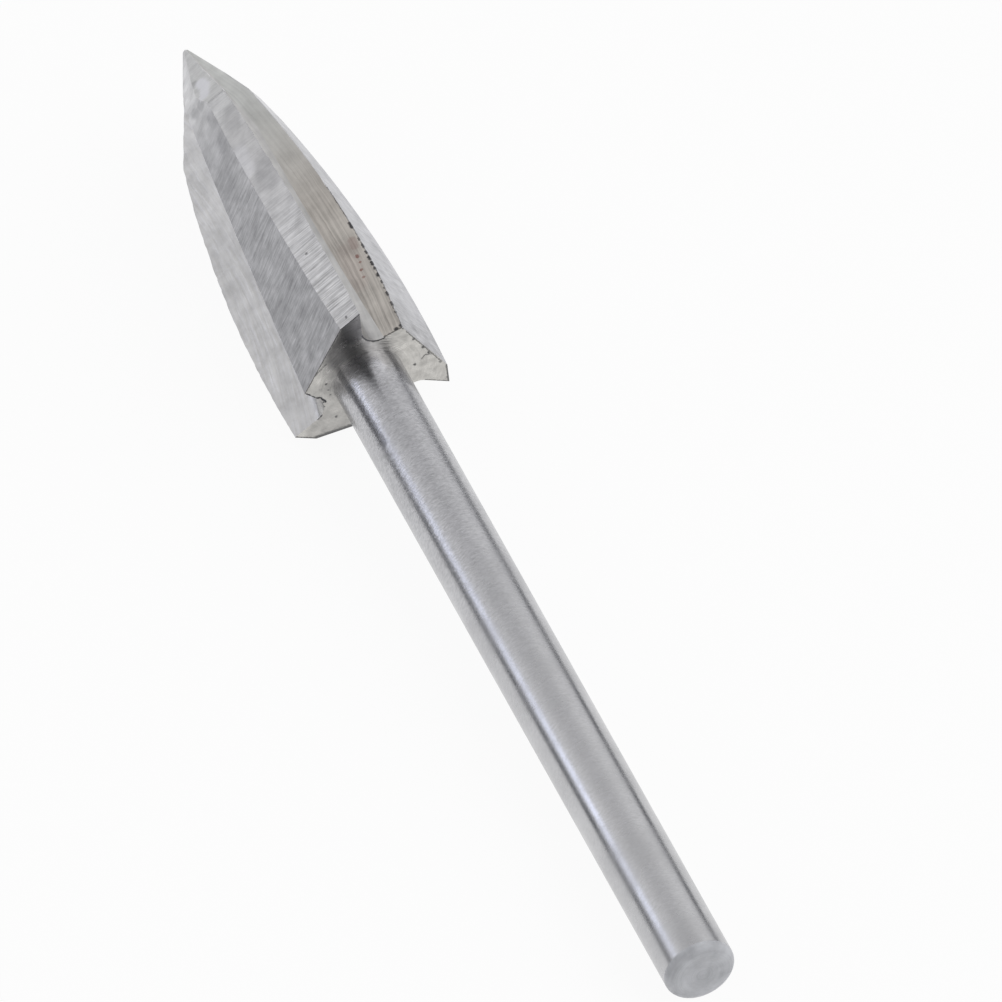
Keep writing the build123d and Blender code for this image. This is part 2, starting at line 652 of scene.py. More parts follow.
    def material(self) -> bpy.types.Material:
        """Builds the shader: a metal whose colour, gloss and relief follow the same scratches.

        Returns:
            The material.
        """
        material = bpy.data.materials.new(self.name)
        material.use_nodes = True
        tree = material.node_tree
        tree.nodes.clear()
        place = add_node(tree, "ShaderNodeAttribute", attribute_name=PLACE).outputs["Vector"]
        station = add_node(tree, "ShaderNodeSeparateXYZ", {0: place}).outputs["X"]
        height = self.scratch_height(tree, place, station)
        cloud = {
            "Vector": place,
            "Scale": 1 / self.patch_size,
            "Detail": self.patch_detail,
            "Roughness": self.noise_roughness,
        }
        patches = add_node(tree, NOISE, cloud)
        ends = {0: station, 1: self.fade_from, 2: self.fade_to}
        fade = add_node(tree, RANGE, ends, interpolation_type="SMOOTHSTEP")
        tip, rear = linear_colour(self.tip_colour), linear_colour(self.rear_colour)
        colour = add_node(tree, MIX, {0: fade, 6: tip, 7: rear}, data_type="RGBA").outputs[2]
        lay_share = add_node(tree, MATH, {0: height, 1: self.lay_contrast}, operation="MULTIPLY")
        cloudy = {0: patches, 1: self.patch_low, 2: self.patch_high}
        darkest, lightest = 1 - self.patch_contrast, 1 + self.patch_contrast
        patch_share = add_node(tree, RANGE, {**cloudy, 3: darkest, 4: lightest})
        brightness = add_node(tree, MATH, {0: lay_share, 1: patch_share}, operation="ADD")
        shaded = {0: colour, "Scale": brightness}
        colour = add_node(tree, VECTOR_MATH, shaded, operation="SCALE").outputs[0]
        dull, glossy = self.rough + self.patch_gloss, self.rough - self.patch_gloss
        rough = add_node(tree, RANGE, {**cloudy, 3: dull, 4: glossy})
        # Each mark colour is mixed in: pits, rust and stains, and also painted shade, dark
        # reflections and highlights
        for shade in sorted({mark.colour for mark in self.marks}):
            mask = self.mark_mask(tree, place, shade)
            stain_and_painted_light = {0: mask, 6: colour, 7: linear_colour(shade)}
            colour = add_node(tree, MIX, stain_and_painted_light, data_type="RGBA").outputs[2]
            # Marks in the pit colour, the painted shadow lines and shaded rims among them, are also
            # sunk into the relief
            if shade == PIT_AND_SHADE:
                sunk = {0: mask, 1: -self.pit_depth / self.scratch_depth, 2: height}
                height = add_node(tree, MATH, sunk, operation="MULTIPLY_ADD").outputs[0]
        relief = {"Height": height, "Strength": 1.0, "Distance": self.scratch_depth * METRES_PER_MM}
        bump = add_node(tree, "ShaderNodeBump", relief)
        steel = {"Base Color": colour, "Metallic": 1.0, "Roughness": rough, "Normal": bump}
        shader = add_node(tree, "ShaderNodeBsdfPrincipled", steel)
        add_node(tree, "ShaderNodeOutputMaterial", {"Surface": shader})
        return material


class OpenShape:
    """Collects the faces of a third of the tool, each with its surface and its lay."""

    def __init__(self) -> None:
        """Starts an empty shape that keeps the lay and the kinds of surface."""
        self.shape = bmesh.new()
        self.lay = self.shape.loops.layers.uv.new(LAY)
        self.kind = self.shape.faces.layers.int.new(SURFACE)

    def corner(self, station: float, x: float, y: float) -> bmesh.types.BMVert:
        """Adds a corner at a station and a point of the cross section."""
        return self.shape.verts.new((station, x, y))

    def face(
        self, corners: list[bmesh.types.BMVert], surface: Surface, places: list[Point] | None = None
    ) -> None:
        """Adds a face with the places of its corners in the lay.

        Args:
            corners: The corners, in order.
            surface: The kind of surface.
            places: The corners' places in the lay. Without them it is the cross section.
        """
        made = self.shape.faces.new(corners)
        made[self.kind] = surface.value
        for loop, place in zip(made.loops, places or [(v.co.y, v.co.z) for v in corners]):
            loop[self.lay].uv = place

    def mesh(self, name: str) -> bpy.types.Mesh:
        """Turns the shape into a mesh, and frees the shape.

        Args:
            name: The mesh's name.

        Returns:
            The mesh.
        """
        mesh = bpy.data.meshes.new(name)
        self.shape.to_mesh(mesh)
        self.shape.free()
        return mesh


@dataclass
class CarvingBit:
    """The whole tool. One third of it is built, and the tree repeats it about the axis."""

    section: HeadSection
    rear_round: float = 0.4
    round_rings: int = 8
    start_angle: float = radians(17.0)
    nose_rings: int = 8
    ring_spacing: float = 0.12
    land_strips: int = 4
    flat_strips: int = 10
    floor_strips: int = 5
    rake_strips: int = 8
    root_strips: int = 14
    arc_columns: int = 40
    shank_rings: int = 24
    weld: float = 0.0008
    sharp_angle: float = radians(12.0)
    smallest_edge_m: float = 1e-8

    def stations(self) -> list[float]:
        """Stations of the head's rings, close together round the nose.

        Returns:
            The stations, from just behind the tip to the back face.
        """
        turn = pi / 2 - self.section.cone
        stations = [
            self.section.nose_radius * (1 - cos(turn * i / self.nose_rings))
            for i in range(1, self.nose_rings + 1)
        ]
        for kink in (
            self.section.point_station,
            self.section.flat_line.shoulder_station,
            self.section.edge_line.shoulder_station,
            self.section.head_length,
        ):
            first = stations[-1]
            run = kink - first
            steps = max(1, round(run / self.ring_spacing))
            stations += [first + run * (i + 1) / steps for i in range(steps)]
        return stations

    def add_head(self, shape: OpenShape) -> list[bmesh.types.BMVert]:
        """Adds one blade's faces, from the tip to the back face.

        Args:
            shape: The shape that takes them.

        Returns:
            The last ring's corners.
        """
        counts = {
            Surface.WORN_EDGE: 1,
            Surface.LAND: self.land_strips,
            Surface.FLAT: self.flat_strips,
            Surface.GROOVE_FLOOR: self.floor_strips,
            Surface.RAKE_FACE: self.rake_strips,
        }
        tip = shape.corner(0.0, 0.0, 0.0)
        rings = []
        for station in self.stations():
            points = self.section.ring(station, counts, self.root_strips)
            rings.append((station, points, [shape.corner(station, p.x, p.y) for p in points]))
        station, points, corners = rings[0]
        for i, (this, after) in enumerate(zip(points, points[1:])):
            places = [(0.0, 0.0), (after.across, station), (this.across, station)]
            shape.face([tip, corners[i + 1], corners[i]], this.surface, places)
        for (t0, near, front), (t1, far, back) in zip(rings, rings[1:]):
            for i in range(len(near) - 1):
                ends = []
                for this, after in ((near[i], near[i + 1]), (far[i], far[i + 1])):
                    last = after.across
                    # Where a new surface starts at the next point, its distance starts anew
                    if last <= this.across:
                        last = this.across + gap((this.x, this.y), (after.x, after.y))
                    ends.append((this.across, last))
                places = [(ends[0][0], t0), (ends[0][1], t0), (ends[1][1], t1), (ends[1][0], t1)]
                around = [front[i], front[i + 1], back[i + 1], back[i]]
                shape.face(around, near[i].surface, places)
        return rings[-1][2]

    def add_shank(
        self, shape: OpenShape
    ) -> tuple[list[bmesh.types.BMVert], list[bmesh.types.BMVert]]:
        """Adds a third of the shank, with its rounded rear rim.

        Args:
            shape: The shape that takes it.

        Returns:
            The corners of its first and of its last circle.
        """
        start, end = self.section.head_length, OVERALL_LENGTH - self.rear_round
        profile = [
            (start + (end - start) * i / self.shank_rings, SHANK_RADIUS)
            for i in range(self.shank_rings + 1)
        ]
        for i in range(1, self.round_rings + 1):
            turn = pi / 2 * i / self.round_rings
            inwards = self.rear_round * (1 - cos(turn))
            profile.append((end + self.rear_round * sin(turn), SHANK_RADIUS - inwards))
        angles = [
            self.start_angle + self.section.step * i / self.arc_columns
            for i in range(self.arc_columns + 1)
        ]
        circles = [[shape.corner(t, r * cos(a), r * sin(a)) for a in angles] for t, r in profile]
        for (t0, _), (t1, _), front, back in zip(profile, profile[1:], circles, circles[1:]):
            surface = Surface.SHANK if t0 < end - self.weld else Surface.REAR_END
            for i in range(self.arc_columns):
                a, b = angles[i] * SHANK_RADIUS, angles[i + 1] * SHANK_RADIUS
                around = [front[i], front[i + 1], back[i + 1], back[i]]
                shape.face(around, surface, [(a, t0), (b, t0), (b, t1), (a, t1)])
        return circles[0], circles[-1]

    def third(self) -> bpy.types.Mesh:
        """Builds one third of the tool: a blade's faces and its share of back face and shank.

        Returns:
            An open mesh in the tool's frame, in millimetres, with its lay and surface kinds.
        """
        shape = OpenShape()
        head_end = self.add_head(shape)
        shank_start, shank_end = self.add_shank(shape)
        shape.face(head_end + shank_start[::-1], Surface.BACK_FACE)
        shape.face([*shank_end, shape.corner(OVERALL_LENGTH, 0.0, 0.0)], Surface.REAR_END)
        return shape.mesh("third_of_tool")

    def ring_tree(self, materials: dict[Surface, bpy.types.Material]) -> Tree:
        """Builds the tree that repeats a third of the tool about its axis and dresses it.

        Args:
            materials: The finish of each surface.

        Returns:
            A Geometry Nodes tree with the blades' number, step, start and weld as inputs.
        """
        tree = bpy.data.node_groups.new("blades_about_axis", "GeometryNodeTree")
        for name, kind in (
            ("Third of tool", "NodeSocketGeometry"),
            ("Blade count", "NodeSocketInt"),
            ("Blade step", "NodeSocketFloat"),
            ("First edge angle", "NodeSocketFloat"),
            ("Weld distance", "NodeSocketFloat"),
        ):
            tree.interface.new_socket(name, in_out="INPUT", socket_type=kind)
        tree.interface.new_socket("Tool", in_out="OUTPUT", socket_type="NodeSocketGeometry")
        given = add_node(tree, "NodeGroupInput").outputs
        points = {"Count": given["Blade count"], "Offset": (0.0, 0.0, 0.0)}
        line = add_node(tree, "GeometryNodeMeshLine", points)
        number = add_node(tree, "GeometryNodeInputIndex")
        steps = {0: number, 1: given["Blade step"], 2: given["First edge angle"]}
        angle = add_node(tree, MATH, steps, operation="MULTIPLY_ADD")
        turn = add_node(tree, "ShaderNodeCombineXYZ", {"X": angle})
        copies = {"Points": line, "Instance": given["Third of tool"], "Rotation": turn}
        blades = add_node(tree, "GeometryNodeInstanceOnPoints", copies)
        real = add_node(tree, "GeometryNodeRealizeInstances", {0: blades})
        seams = {"Geometry": real, "Distance": given["Weld distance"]}
        welded = add_node(tree, "GeometryNodeMergeByDistance", seams)
        place = add_node(tree, "GeometryNodeInputPosition")
        geometry = add_node(
            tree,
            "GeometryNodeStoreNamedAttribute",
            {"Geometry": welded, "Name": PLACE, "Value": place},
            data_type="FLOAT_VECTOR",
            domain="POINT",
        )
        surface = add_node(
            tree, "GeometryNodeInputNamedAttribute", {"Name": SURFACE}, data_type="INT"
        )
        for kind, material in materials.items():
            match = {2: surface, 3: kind.value}
            chosen = add_node(
                tree, "FunctionNodeCompare", match, data_type="INT", operation="EQUAL"
            )
            dressed = {"Geometry": geometry, "Selection": chosen, "Material": material}
            geometry = add_node(tree, "GeometryNodeSetMaterial", dressed)
        add_node(tree, "NodeGroupOutput", {"Tool": geometry})
        return tree

    def build(
        self, frame: ToolFrame, materials: dict[Surface, bpy.types.Material]
    ) -> bpy.types.Object:
        """Repeats the third about the axis, welds it and lays the tool in its place.

        Args:
            frame: Where the tool lies.
            materials: The finish of each surface.

        Returns:
            The finished tool, a closed mesh with its place in its own vertices.
        """
        source = bpy.data.objects.new("third_of_tool", self.third())
        bpy.context.collection.objects.link(source)
        tree = self.ring_tree(materials)
        modifier = source.modifiers.new("blades", "NODES")
        modifier.node_group = tree
        values = {
            "Blade count": self.section.blade_count,
            "Blade step": self.section.step,
            "First edge angle": self.section.edge_angle(Blade.LEFT),
            "Weld distance": self.weld,
        }
        for item in tree.interface.items_tree:
            if item.in_out == "INPUT" and item.name in values:
                modifier[item.identifier] = values[item.name]
        graph = bpy.context.evaluated_depsgraph_get()
        mesh = bpy.data.meshes.new_from_object(
            source.evaluated_get(graph), preserve_all_data_layers=True, depsgraph=graph
        )
        source.modifiers.clear()
        bpy.data.objects.remove(source)
        mesh.name = "ground_carving_bit"
        mesh.transform(frame.matrix())
        self.tidy(mesh)
        piece = bpy.data.objects.new("ground_carving_bit", mesh)
        bpy.context.collection.objects.link(piece)
        return piece

    def tidy(self, mesh: bpy.types.Mesh) -> None:
        """Points the faces outwards and keeps the ground edges sharp between smooth faces.

        Args:
            mesh: The whole tool, in its place.
        """
        shape = bmesh.new()
        shape.from_mesh(mesh)
        bmesh.ops.dissolve_degenerate(shape, dist=self.smallest_edge_m, edges=shape.edges)
        bmesh.ops.recalc_face_normals(shape, faces=shape.faces)
        open_edges = sum(1 for edge in shape.edges if len(edge.link_faces) != 2)
        volume = shape.calc_volume(signed=True) / METRES_PER_MM**3
        shape.to_mesh(mesh)
        shape.free()
        mesh.shade_smooth()
        mesh.set_sharp_from_angle(angle=self.sharp_angle)
        # The blades curve along the tool in short steps, so an edge across a blade stays smooth
        place = mesh.attributes[PLACE].data
        for edge in mesh.edges:
            first, last = (place[corner].vector.x for corner in edge.vertices)
            if abs(first - last) < self.weld and first < self.section.head_length - self.weld:
                edge.use_edge_sharp = False
        LOG.info("tool mesh: %d open edges, volume %.1f mm3", open_edges, volume)


@dataclass
class Marks:
    """The worn tool's pits, cracks and stains, and painted shade and highlights, on its surfaces.

    Each row of a table is a mark's path, its width in millimetres and its strength from 0 to 1.
    """

    section: HeadSection

    def on_back(self, *points: Point, blade: Blade = Blade.TOP) -> tuple[Vector, ...]:
        """Places on the back face, measured from a blade's edge line."""
        turn = self.section.edge_angle(blade)
        return tuple(Vector((self.section.head_length, *turned(p, turn))) for p in points)

    def on_shank(self, *points: Point) -> tuple[Vector, ...]:
        """Places on the shank, each a station and an angle in degrees from the upper side."""
        return tuple(
            Vector((station, *turned((SHANK_RADIUS, 0.0), radians(angle))))
            for station, angle in points
        )

    def on_surface(self, blade: Blade, surface: Surface, *points: Point) -> tuple[Vector, ...]:
        """Places on a blade, each a station and a distance across the surface."""
        return tuple(self.section.on_blade(blade, surface, *point) for point in points)

    def in_groove(self, *points: Point) -> tuple[Vector, ...]:
        """Places on the groove's floor between the right and the top blade."""
        return self.on_surface(Blade.RIGHT, Surface.GROOVE_FLOOR, *points)

    def on_land(self, *points: Point) -> tuple[Vector, ...]:
        """Places on the top blade's land."""
        return self.on_surface(Blade.TOP, Surface.LAND, *points)

    def on_flat(self, *points: Point) -> tuple[Vector, ...]:
        """Places on the top blade's flat."""
        return self.on_surface(Blade.TOP, Surface.FLAT, *points)

    @staticmethod
    def listed(
        places: Callable[..., tuple[Vector, ...]],
        colour: str,
        *rows: tuple[tuple[Point, ...], float, float],
    ) -> tuple[Mark, ...]:
        """Makes marks of one colour on one surface.

        Args:
            places: The method that finds places on the surface.
            colour: The marks' colour.
            *rows: For each mark its path, width and strength.

        Returns:
            The marks.
        """
        return tuple(Mark(places(*path), width, strength, colour) for path, width, strength in rows)

    def groove_end(self, steps: int = 5, inside: float = 0.03) -> tuple[Point, ...]:
        """Points just inside the back face, round the end of the groove's bottom.

        Args:
            steps: How many short lines follow the round bottom.
            inside: How far the line lies inside the metal, in millimetres.

        Returns:
            The points, measured from the top blade's edge line.
        """
        corners = self.section.corners(self.section.head_length)
        x, y = turned(corners["root_centre"], -self.section.step)
        radius = self.section.root_radius + inside
        start, turn = 105.0, 85.0
        angles = (radians(start + turn * step / steps) for step in range(steps + 1))
        return tuple((x + radius * cos(angle), y + radius * sin(angle)) for angle in angles)

    def ridge(self) -> tuple[Mark, ...]:
        """The chain of pits along the ridge between the groove and the right blade's flat.

        Returns:
            The pits, and a painted shadow line along the ridge that joins them.
        """
        pits = (
            Mark(self.in_groove((station, across), (station + length, across)), width, strength)
            for station, across, length, width, strength in (
                (13.0, 0.03, 0.25, 0.17, 0.9),
                (13.98, 0.03, 0.1, 0.11, 0.7),
                (14.38, 0.02, 0.16, 0.13, 0.85),
                (14.84, 0.03, 0.1, 0.14, 0.85),
                (15.2, 0.02, 0.12, 0.16, 0.9),
                (15.54, 0.03, 0.12, 0.15, 0.9),
                (15.9, 0.02, 0.05, 0.15, 0.85),
                (16.3, 0.03, 0.12, 0.14, 0.9),
                (16.78, 0.02, 0.08, 0.12, 0.8),
                (17.18, 0.03, 0.04, 0.1, 0.6),
                (17.52, 0.03, 0.14, 0.13, 0.85),
                (18.14, 0.02, 0.16, 0.12, 0.8),
                (18.75, 0.03, 0.06, 0.1, 0.7),
            )
        )
        # A painted shadow line along the ridge, where the groove's floor meets the right blade's
        # flat
        line = self.in_groove((10.6, 0.0), (13.0, 0.0), (16.4, 0.0), (19.7, 0.0))
        return (*pits, Mark(line, 0.05, 0.55))

    def groove(self) -> tuple[Mark, ...]:
        """Pits and a painted shadow line along the ridge, rust specks and the chipped rear end.

        Returns:
            The marks of the groove's floor.
        """
        specks = self.listed(
            self.in_groove,
            RUST,
            (((13.9, 0.3), (14.3, 0.35)), 0.35, 0.3),
            (((14.82, 0.45), (14.92, 0.45)), 0.14, 0.75),
            (((15.24, 0.45),), 0.14, 0.65),
            (((15.67, 0.54),), 0.15, 0.7),
            (((16.1, 0.6),), 0.15, 0.6),
            (((14.3, 0.7), (16.3, 0.9)), 0.8, 0.12),
        )
        chipped_end = self.listed(
            self.in_groove,
            PIT_AND_SHADE,
            (((19.62, 0.02),), 0.19, 0.9),
            (((19.7, 0.27),), 0.19, 0.9),
            (((19.76, 0.05), (19.78, 0.9)), 0.08, 0.7),
        )
        return (*self.ridge(), *specks, *chipped_end)

    def painted_highlight_patch(self) -> Mark:
        """A painted highlight near the tip, across the top blade's land and its heel."""
        return Mark(self.on_land((3.1, 0.5), (3.6, 0.48), (4.2, 0.76)), 0.5, 0.7, PAINTED_HIGHLIGHT)

    def land(self) -> tuple[Mark, ...]:
        """Two small pits on the top blade's land, its dull spots, and painted highlights along it
        and near its tip.

        Returns:
            The marks of the lands.
        """
        pits = self.listed(
            self.on_land, PIT_AND_SHADE, (((15.54, 0.72),), 0.1, 0.6), (((19.5, 0.57),), 0.1, 0.6)
        )
        dull = self.listed(
            self.on_land,
            STAIN_AND_SHADE,
            (((2.9, 0.84),), 0.5, 0.3),
            (((6.3, 0.2), (6.9, 0.5)), 0.8, 0.16),
            (((10.2, 0.3), (10.9, 0.5)), 1.1, 0.2),
        )
        # A faint painted highlight along the middle of the land
        bright = self.listed(self.on_land, PAINTED_HIGHLIGHT, (((8.6, 1.0), (9.7, 1.1)), 0.8, 0.2))
        return (*pits, *dull, *bright, self.painted_highlight_patch())

    def flat(self) -> tuple[Mark, ...]:
        """Ridge pits and painted shadow, the top flat's dull spots, painted light on the right flat
        and tip.

        Returns:
            The marks of the flats.
        """
        dull = self.listed(
            self.on_flat,
            STAIN_AND_SHADE,
            (((4.4, 0.22), (4.6, 0.3)), 0.42, 0.35),
            (((4.3, 0.74), (4.6, 0.7)), 0.42, 0.28),
            (((5.5, 0.22), (6.0, 0.26)), 0.5, 0.25),
            (((7.0, 0.24), (7.5, 0.4)), 0.6, 0.3),
            (((8.2, 0.9), (9.2, 1.1)), 1.0, 0.14),
            (((15.8, 1.2), (17.0, 1.5)), 1.3, 0.12),
        )
        # Painted light on the right flat: a pale wash that stands in for the brighter surroundings
        # it mirrors
        middle = ((5.0, 0.6), (11.0, 1.1), (16.5, 1.4))
        pale = Mark(self.on_surface(Blade.RIGHT, Surface.FLAT, *middle), 3.4, 0.17, PAINTED_HIGHLIGHT)
        return (*self.ridge(), *dull, pale, self.painted_highlight_patch())

    def back(self) -> tuple[Mark, ...]:
        """The cracks and spots of the back face, with painted shade and a painted dark reflection
        by the shank.

        Returns:
            The marks of the back face.
        """
        crack = Mark(self.on_back((0.32, 2.66), (-0.11, 2.32), (-0.19, 2.08), (-0.52, 1.9)), 0.08)
        spots = (
            Mark(self.on_back(place), width, strength)
            for place, width, strength in (
                ((-0.5, 2.0), 0.08, 0.9),
                ((-0.77, 1.99), 0.08, 0.8),
                ((0.49, 1.78), 0.12, 0.7),
                ((0.1, 1.72), 0.09, 0.5),
                ((-0.2, 1.66), 0.08, 0.5),
                ((-1.61, 1.54), 0.12, 0.7),
                ((-0.22, -2.02), 0.13, 0.8),
                ((-0.58, -3.12), 0.16, 0.6),
                ((1.29, -2.12), 0.14, 0.8),
                ((0.63, -2.47), 0.14, 0.8),
                ((0.2, -2.68), 0.12, 0.8),
                ((2.34, -1.41), 0.17, 0.85),
                ((2.18, -1.72), 0.15, 0.8),
            )
        )
        lines = self.listed(
            self.on_back,
            PIT_AND_SHADE,
            (((-1.21, 2.16), (-1.35, 2.31)), 0.12, 0.9),
            (((0.74, 2.68), (1.3, 2.1), (1.65, 1.68)), 0.07, 0.5),
            (((-0.01, -2.38), (0.15, -2.49), (0.03, -2.86)), 0.06, 0.6),
            (((1.9, -1.85), (1.29, -2.16), (0.63, -2.52), (-0.55, -3.14)), 0.06, 0.6),
            # A painted shadow round the end of the groove's bottom, where the groove meets the back
            # face
            (self.groove_end(), 0.1, 0.85),
        )
        # A painted dark reflection in the back face by the shank, where it mirrors the shank
        painted_dark_reflection = self.listed(
            self.on_back,
            STAIN_AND_SHADE,
            (((3.6, 0.35), (2.8, 0.35)), 1.1, 0.66),
            (((2.6, 0.25), (2.2, 0.75)), 1.7, 0.3),
            (((2.1, 0.4), (1.9, 0.9)), 0.9, 0.25),
            (((2.0, 1.35), (1.6, 1.2)), 0.8, 0.3),
            (((-0.6, 1.9), (-1.3, 1.8), (-2.5, 0.7)), 2.2, 0.2),
        )
        return (crack, *spots, *lines, *painted_dark_reflection, *self.painted_shade_rims())

    def painted_shade_rims(self) -> tuple[Mark, ...]:
        """Painted shade along the outer rims of the blades' back faces.

        Returns:
            A mark for each rim.
        """
        corners = self.section.corners(self.section.head_length)
        corners["own_rake_foot"] = turned(corners["rake_foot"], -self.section.step)
        rims, strength = [], 0.75
        for blade, width, names in (
            (Blade.LEFT, 0.12, ("edge", "heel")),
            (Blade.LEFT, 0.32, ("heel", "ridge")),
            (Blade.RIGHT, 0.14, ("edge", "heel")),
            (Blade.RIGHT, 0.07, ("edge", "own_rake_foot")),
            (Blade.TOP, 0.1, ("edge", "heel", "ridge")),
        ):
            path = self.on_back(*(corners[name] for name in names), blade=blade)
            rims.append(Mark(path, width, strength))
        return tuple(rims)

    def rear_end(self) -> tuple[Mark, ...]:
        """The middle of the rear end, made a little darker than its rim."""
        return (Mark((Vector((OVERALL_LENGTH, 0.1, 0.1)),), 1.3, 0.12, STAIN_AND_SHADE),)

    def shank(self) -> tuple[Mark, ...]:
        """Painted dark reflections and a painted glint where the shank leaves the head.

        Returns:
            The marks of the shank.
        """
        # Painted dark reflections, carrying the shank's mirrored dark streaks down to the head
        dull = self.listed(
            self.on_shank,
            STAIN_AND_SHADE,
            (((19.8, -38.0), (21.6, -48.0)), 0.4, 0.65),
            (((19.85, 54.6), (21.9, 50.0), (24.3, 45.2)), 0.3, 0.55),
        )
        # The last mark is a painted glint by the root
        return (*dull, Mark(self.on_shank((19.9, -12.0), (20.7, -13.0)), 0.45, 0.3, PAINTED_HIGHLIGHT))


def finishes(marks: Marks) -> dict[Surface, GroundSteel]:
    """The finish of each surface, each as its own wheel leaves the same steel.

    Args:
        marks: The pits and cracks, placed on the surfaces.

    Returns:
        A finish for each surface.
    """
    return {
        # Ground straight across the blade: light, with fine close lines that catch the light
        Surface.LAND: GroundSteel(
            "fine_ground_steel_land", "#DCDCDC", "#C1C0C0", 0.36,
            pitch=0.085, scratch_length=1.8, lay_contrast=0.28, lay_spread=0.16,
            lay_waver=0.3, lay_at_tip=0.2, lay_grows_from=11.0, lay_grows_to=16.0,
            patch_size=0.6, patch_contrast=0.11, scratch_depth=0.002,
            fade_from=3.0, fade_to=9.0, marks=marks.land(),
        ),
        # Ground with a coarser wheel at a slight slant: darker, bluish, mottled
        Surface.FLAT: GroundSteel(
            "coarse_ground_steel_flat", "#C7C7C9", "#AAAAAD", 0.34,
            lay_angle=radians(8.0), pitch=0.11, scratch_length=1.1, lay_contrast=0.18,
            lay_spread=0.16, lay_waver=0.9, lay_at_tip=0.35, lay_grows_from=6.0,
            lay_grows_to=11.0, patch_size=0.7, patch_contrast=0.14, scratch_depth=0.002,
            fade_from=3.5, fade_to=7.5, marks=marks.flat(),
        ),
        # Ground lengthwise by the wheel's rim, then browned by rust and dust in the groove
        Surface.GROOVE_FLOOR: GroundSteel(
            "lengthwise_ground_steel_groove", "#CDCECC", "#BCB7B1", 0.42,
            lay_angle=radians(90.0), pitch=0.1, scratch_length=5.0, lay_contrast=0.15,
            lay_spread=0.15, lay_waver=0.3, lay_at_tip=0.3, lay_grows_from=6.0,
            lay_grows_to=15.0, patch_size=1.2, patch_contrast=0.1, marks=marks.groove(),
        ),
        # Ground lengthwise by the wheel's flat side: pale and even
        Surface.RAKE_FACE: GroundSteel(
            "lengthwise_ground_steel_rake", "#CBCAC9", "#C1C0BF", 0.36,
            lay_angle=radians(90.0), pitch=0.2, scratch_length=2.5, lay_contrast=0.07,
            lay_waver=0.5, patch_size=0.8, patch_contrast=0.08, scratch_depth=0.003,
        ),
        # Rubbed bright along the edges
        Surface.WORN_EDGE: GroundSteel(
            "rubbed_bright_steel_edge", "#DADADC", "#DADADC", 0.3,
            lay_angle=radians(90.0), pitch=0.3, lay_contrast=0.1, patch_size=0.5,
            patch_contrast=0.25, scratch_depth=0.002, marks=marks.ridge(),
        ),
        # Faced on the grinder: rings about the axis, with pits, a crack, painted shade and a
        # painted dark reflection
        Surface.BACK_FACE: GroundSteel(
            "faced_steel_back", "#C0BEBA", "#C0BEBA", 0.31,
            lay=Lay.CONCENTRIC, pitch=0.12, scratch_length=1.0, lay_contrast=0.07,
            lay_waver=0.8, patch_size=0.4, patch_contrast=0.18, marks=marks.back(),
        ),
        # Centreless-ground bar: satin, with fine rings that blur its reflections, and painted
        # reflections by the head
        Surface.SHANK: GroundSteel(
            "centreless_ground_steel_shank", "#B9B9BC", "#C0C0C2", 0.26,
            lay=Lay.ROUND_SHANK, pitch=0.08, scratch_length=0.2, lay_contrast=0.06,
            lay_detail=3.0, lay_waver=0.5, lay_at_tip=3.4, lay_grows_from=20.0,
            lay_grows_to=42.0, patch_size=2.5, patch_contrast=0.04, scratch_depth=0.0008,
            fade_from=20.0, fade_to=50.0, marks=marks.shank(),
        ),
        # Cut-off end: duller than the ground sides
        Surface.REAR_END: GroundSteel(
            "cut_steel_rear_end", "#D0D1D4", "#D0D1D4", 0.78,
            lay=Lay.CONCENTRIC, pitch=0.16, lay_contrast=0.04, patch_size=0.9,
            patch_contrast=0.08, marks=marks.rear_end(),
        ),
    }


